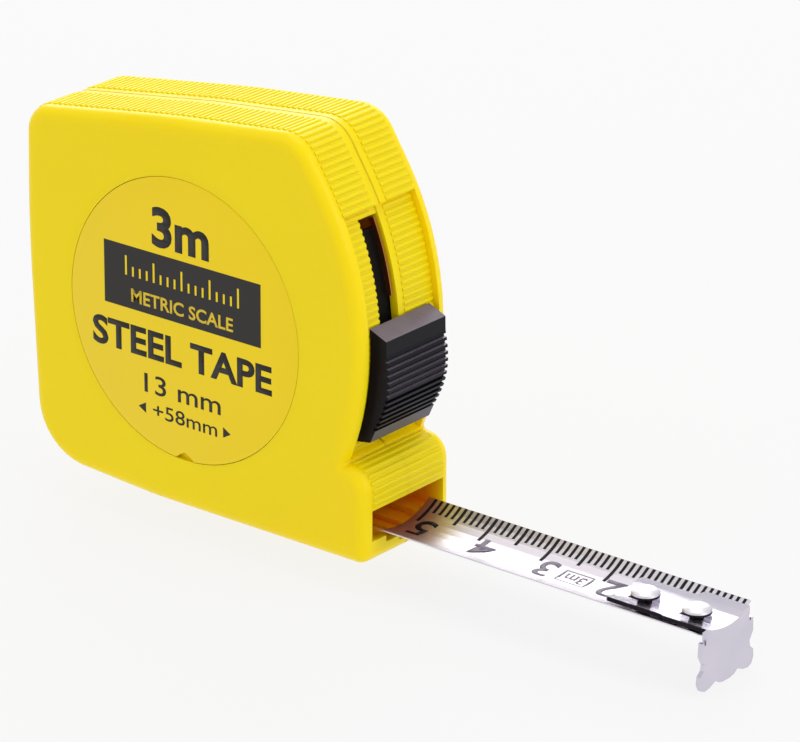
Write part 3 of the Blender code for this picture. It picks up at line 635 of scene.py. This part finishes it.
def label_panel():
    """The dark panel: a plain block with a row of ruler marks left clear along its upper part."""
    bm = bmesh.new()
    low, high, half = -4.35 * MM, 4.35 * MM, 13.4 * MM
    band_low, band_high = 0.2 * MM, 2.9 * MM
    flat_box(bm, -half, half, low, band_low)
    flat_box(bm, -half, half, band_high, high)
    marks, mark_half, span = 17, 0.17 * MM, 9.6 * MM
    edges = [-half]
    for k in range(marks):
        x = -span + 2 * span * k / (marks - 1)
        edges += [x - mark_half, x + mark_half]
    edges.append(half)
    for k in range(0, len(edges), 2):
        flat_box(bm, edges[k], edges[k + 1], band_low, band_high)
    for k in range(marks):
        if k % 4:
            x = -span + 2 * span * k / (marks - 1)
            flat_box(bm, x - mark_half, x + mark_half, band_low + 1.35 * MM, band_high)
    bmesh.ops.remove_doubles(bm, verts=bm.verts, dist=1e-7)
    return bm


panel = on_label(thicken(label_panel(), PRINT_THICK), -0.2 * MM, 3.95 * MM)
piece("label_panel", panel, INK, "case")
label_words("label_length", "3m", -0.35 * MM, 12.05 * MM, 5.6 * MM, weight=0.034, stretch=1.1)
label_words("label_name", "STEEL TAPE", -0.4 * MM, -4.6 * MM, 4.1 * MM, weight=0.030, stretch=1.12)
label_words("label_width", "13 mm", -0.3 * MM, -10.15 * MM, 2.7 * MM, weight=0.006, stretch=1.35)
label_words("label_case", "+58mm", 0.1 * MM, -13.7 * MM, 2.0 * MM, stretch=1.3, weight=0.004)
PALE_INK = surface(
    "label_clear", (0.78, 0.56, 0.03), (0.72, 0.50, 0.02), rough=(0.35, 0.4), Specular_IOR_Level=0.28,
)
pale_flat = text_mesh("METRIC SCALE", 1.9 * MM, weight=0.02, stretch=1.05)
pale = on_label(thicken(pale_flat, PRINT_THICK), -0.2 * MM, 1.55 * MM)
bmesh.ops.translate(pale, vec=(0, -PRINT_THICK, 0), verts=pale.verts)
piece("label_panel_words", pale, PALE_INK, "case")


def arrow_head(side):
    bm = bmesh.new()
    bmesh.ops.create_circle(bm, segments=3, radius=0.85 * MM, cap_ends=True)
    turn = Matrix.Rotation(radians(90 if side < 0 else -90), 4, "Z")
    bmesh.ops.transform(bm, matrix=turn, verts=bm.verts)
    return on_label(thicken(bm, PRINT_THICK), side * 7.1 * MM, -13.75 * MM)


piece("label_arrow_left", arrow_head(-1), INK, "case")
piece("label_arrow_right", arrow_head(1), INK, "case")

# ---- print on the blade

def drape(bm):
    """Bends flat print, drawn across the blade in XY, down into its trough."""
    for v in bm.verts:
        t = v.co.y / TROUGH_RADIUS
        lift = v.co.z + PRINT_LIFT / 2
        v.co.y = PARTING_Y + (TROUGH_RADIUS - lift) * sin(t)
        v.co.z = BLADE_TOP_Z + TROUGH_RADIUS - (TROUGH_RADIUS - lift) * cos(t)
    return bm


def blade_marks():
    """Millimetre marks along the far edge, longer at five and ten."""
    bm = bmesh.new()
    edge = 6.42 * MM
    for mm in range(1, 51):
        x = BLADE_ZERO_X - mm * MM
        long = 4.4 * MM if mm % 10 == 0 else 3.1 * MM if mm % 5 == 0 else 2.2 * MM
        half = 0.24 * MM if mm % 5 == 0 else 0.22 * MM
        made = bmesh.ops.create_grid(bm, x_segments=1, y_segments=4, size=0.5)
        place = Matrix.Translation((x, edge - long / 2, 0)) @ Matrix.Diagonal((2 * half, long, 1, 1))
        bmesh.ops.transform(bm, matrix=place, verts=made["verts"])
    return drape(thicken(bm, PRINT_THICK))


piece("blade_marks", blade_marks(), BLADE_INK, "blade")


def blade_words(name, words, x, y, size, ink=FIGURE_INK, **how):
    """Lettering read from the far side, its feet towards the far edge."""
    bm = thicken(text_mesh(words, size, **how), PRINT_THICK)
    place = Matrix.Translation((x, y, 0)) @ Matrix.Rotation(pi, 4, "Z")
    bmesh.ops.transform(bm, matrix=place, verts=bm.verts)
    return piece(name, drape(bm), ink, "blade")


for cm in (2, 3, 4, 5):
    figure_ink = BLADE_INK if cm == 5 else FIGURE_INK
    figure_x = BLADE_ZERO_X - (cm * 10 - 1.9) * MM
    blade_words(
        f"blade_number_{cm}", str(cm), figure_x, 0.6 * MM, 4.3 * MM, figure_ink, weight=0.012, stretch=1.08
    )
blade_words("blade_length", "3m", BLADE_ZERO_X - 23.4 * MM, 0.5 * MM, 1.9 * MM, weight=0.012)


def blade_frame():
    """A thin box round the blade's printed length."""
    bm = bmesh.new()
    wide, tall, line = 2.25 * MM, 1.5 * MM, 0.2 * MM
    for low, high in (
        ((-wide, -tall), (wide, -tall + line)), ((-wide, tall - line), (wide, tall)),
        ((-wide, -tall + line), (-wide + line, tall - line)),
        ((wide - line, -tall + line), (wide, tall - line)),
    ):
        flat_box(bm, low[0], high[0], low[1], high[1])
    bmesh.ops.remove_doubles(bm, verts=bm.verts, dist=1e-7)
    bmesh.ops.translate(bm, vec=(BLADE_ZERO_X - 23.4 * MM, 0.5 * MM, 0), verts=bm.verts)
    return drape(thicken(bm, PRINT_THICK))


piece("blade_length_frame", blade_frame(), FIGURE_INK, "blade")


# ---- floor, light and camera
def floor():
    bm = bmesh.new()
    bmesh.ops.create_grid(bm, x_segments=1, y_segments=1, size=3.0)
    mesh = bpy.data.meshes.new("floor")
    bm.to_mesh(mesh)
    bm.free()
    obj = bpy.data.objects.new("floor", mesh)
    obj.location.z = -4.2 * MM
    bpy.context.scene.collection.objects.link(obj)
    pale_floor = Shader("pale_floor").set(
        Base_Color=(0.10, 0.10, 0.10, 1), Roughness=1.0, Specular_IOR_Level=0.0,
        Emission_Color=(1, 1, 1, 1), Emission_Strength=0.83,
    )
    mesh.materials.append(pale_floor.mat)


def soft_light(name, location, target, size, power, colour=(1, 1, 1)):
    data = bpy.data.lights.new(name, "AREA")
    data.shape = "RECTANGLE"
    data.size, data.size_y = size
    data.energy = power
    data.color = colour
    obj = bpy.data.objects.new(name, data)
    obj.location = location
    obj.rotation_euler = (Vector(target) - Vector(location)).to_track_quat("-Z", "Y").to_euler()
    bpy.context.scene.collection.objects.link(obj)


floor()
soft_light("top_box", (-0.02, 0.05, 0.70), (0, 0, 0.02), (0.40, 0.40), 1.1)
soft_light("front_box", (-0.45, -0.60, 0.62), (0, 0, 0.02), (0.4, 0.4), 0.50)
soft_light("right_box", (0.75, 0.05, 0.45), (0.02, 0, 0.02), (0.4, 0.5), 1.5)
soft_light("back_box", (-0.50, 0.62, 0.42), (0, 0, 0.04), (0.8, 0.45), 3.0)

world = bpy.data.worlds.new("studio")
world.use_nodes = True
world.node_tree.nodes["Background"].inputs["Color"].default_value = (1, 1, 1, 1)
world.node_tree.nodes["Background"].inputs["Strength"].default_value = 0.74
bpy.context.scene.world = world
bpy.context.scene.view_settings.view_transform = "Standard"


def camera():
    """Where the camera stands: turned, tipped and very slightly rolled."""
    turn, tip, roll = radians(38.77), radians(21.82), radians(0.28)
    back = Vector((sin(turn) * cos(tip), -cos(turn) * cos(tip), sin(tip)))
    level = Vector((cos(turn), sin(turn), 0))
    right = level * cos(roll) + back.cross(level) * sin(roll)
    data = bpy.data.cameras.new("camera")
    data.sensor_width = 36.0
    data.lens = 222.78
    data.clip_start = 0.01
    obj = bpy.data.objects.new("camera", data)
    place = Matrix((right, back.cross(right), back)).transposed().to_4x4()
    place.translation = (0.38342, -0.45478, 0.25867)
    obj.matrix_world = place
    bpy.context.scene.collection.objects.link(obj)
    bpy.context.scene.camera = obj


camera()
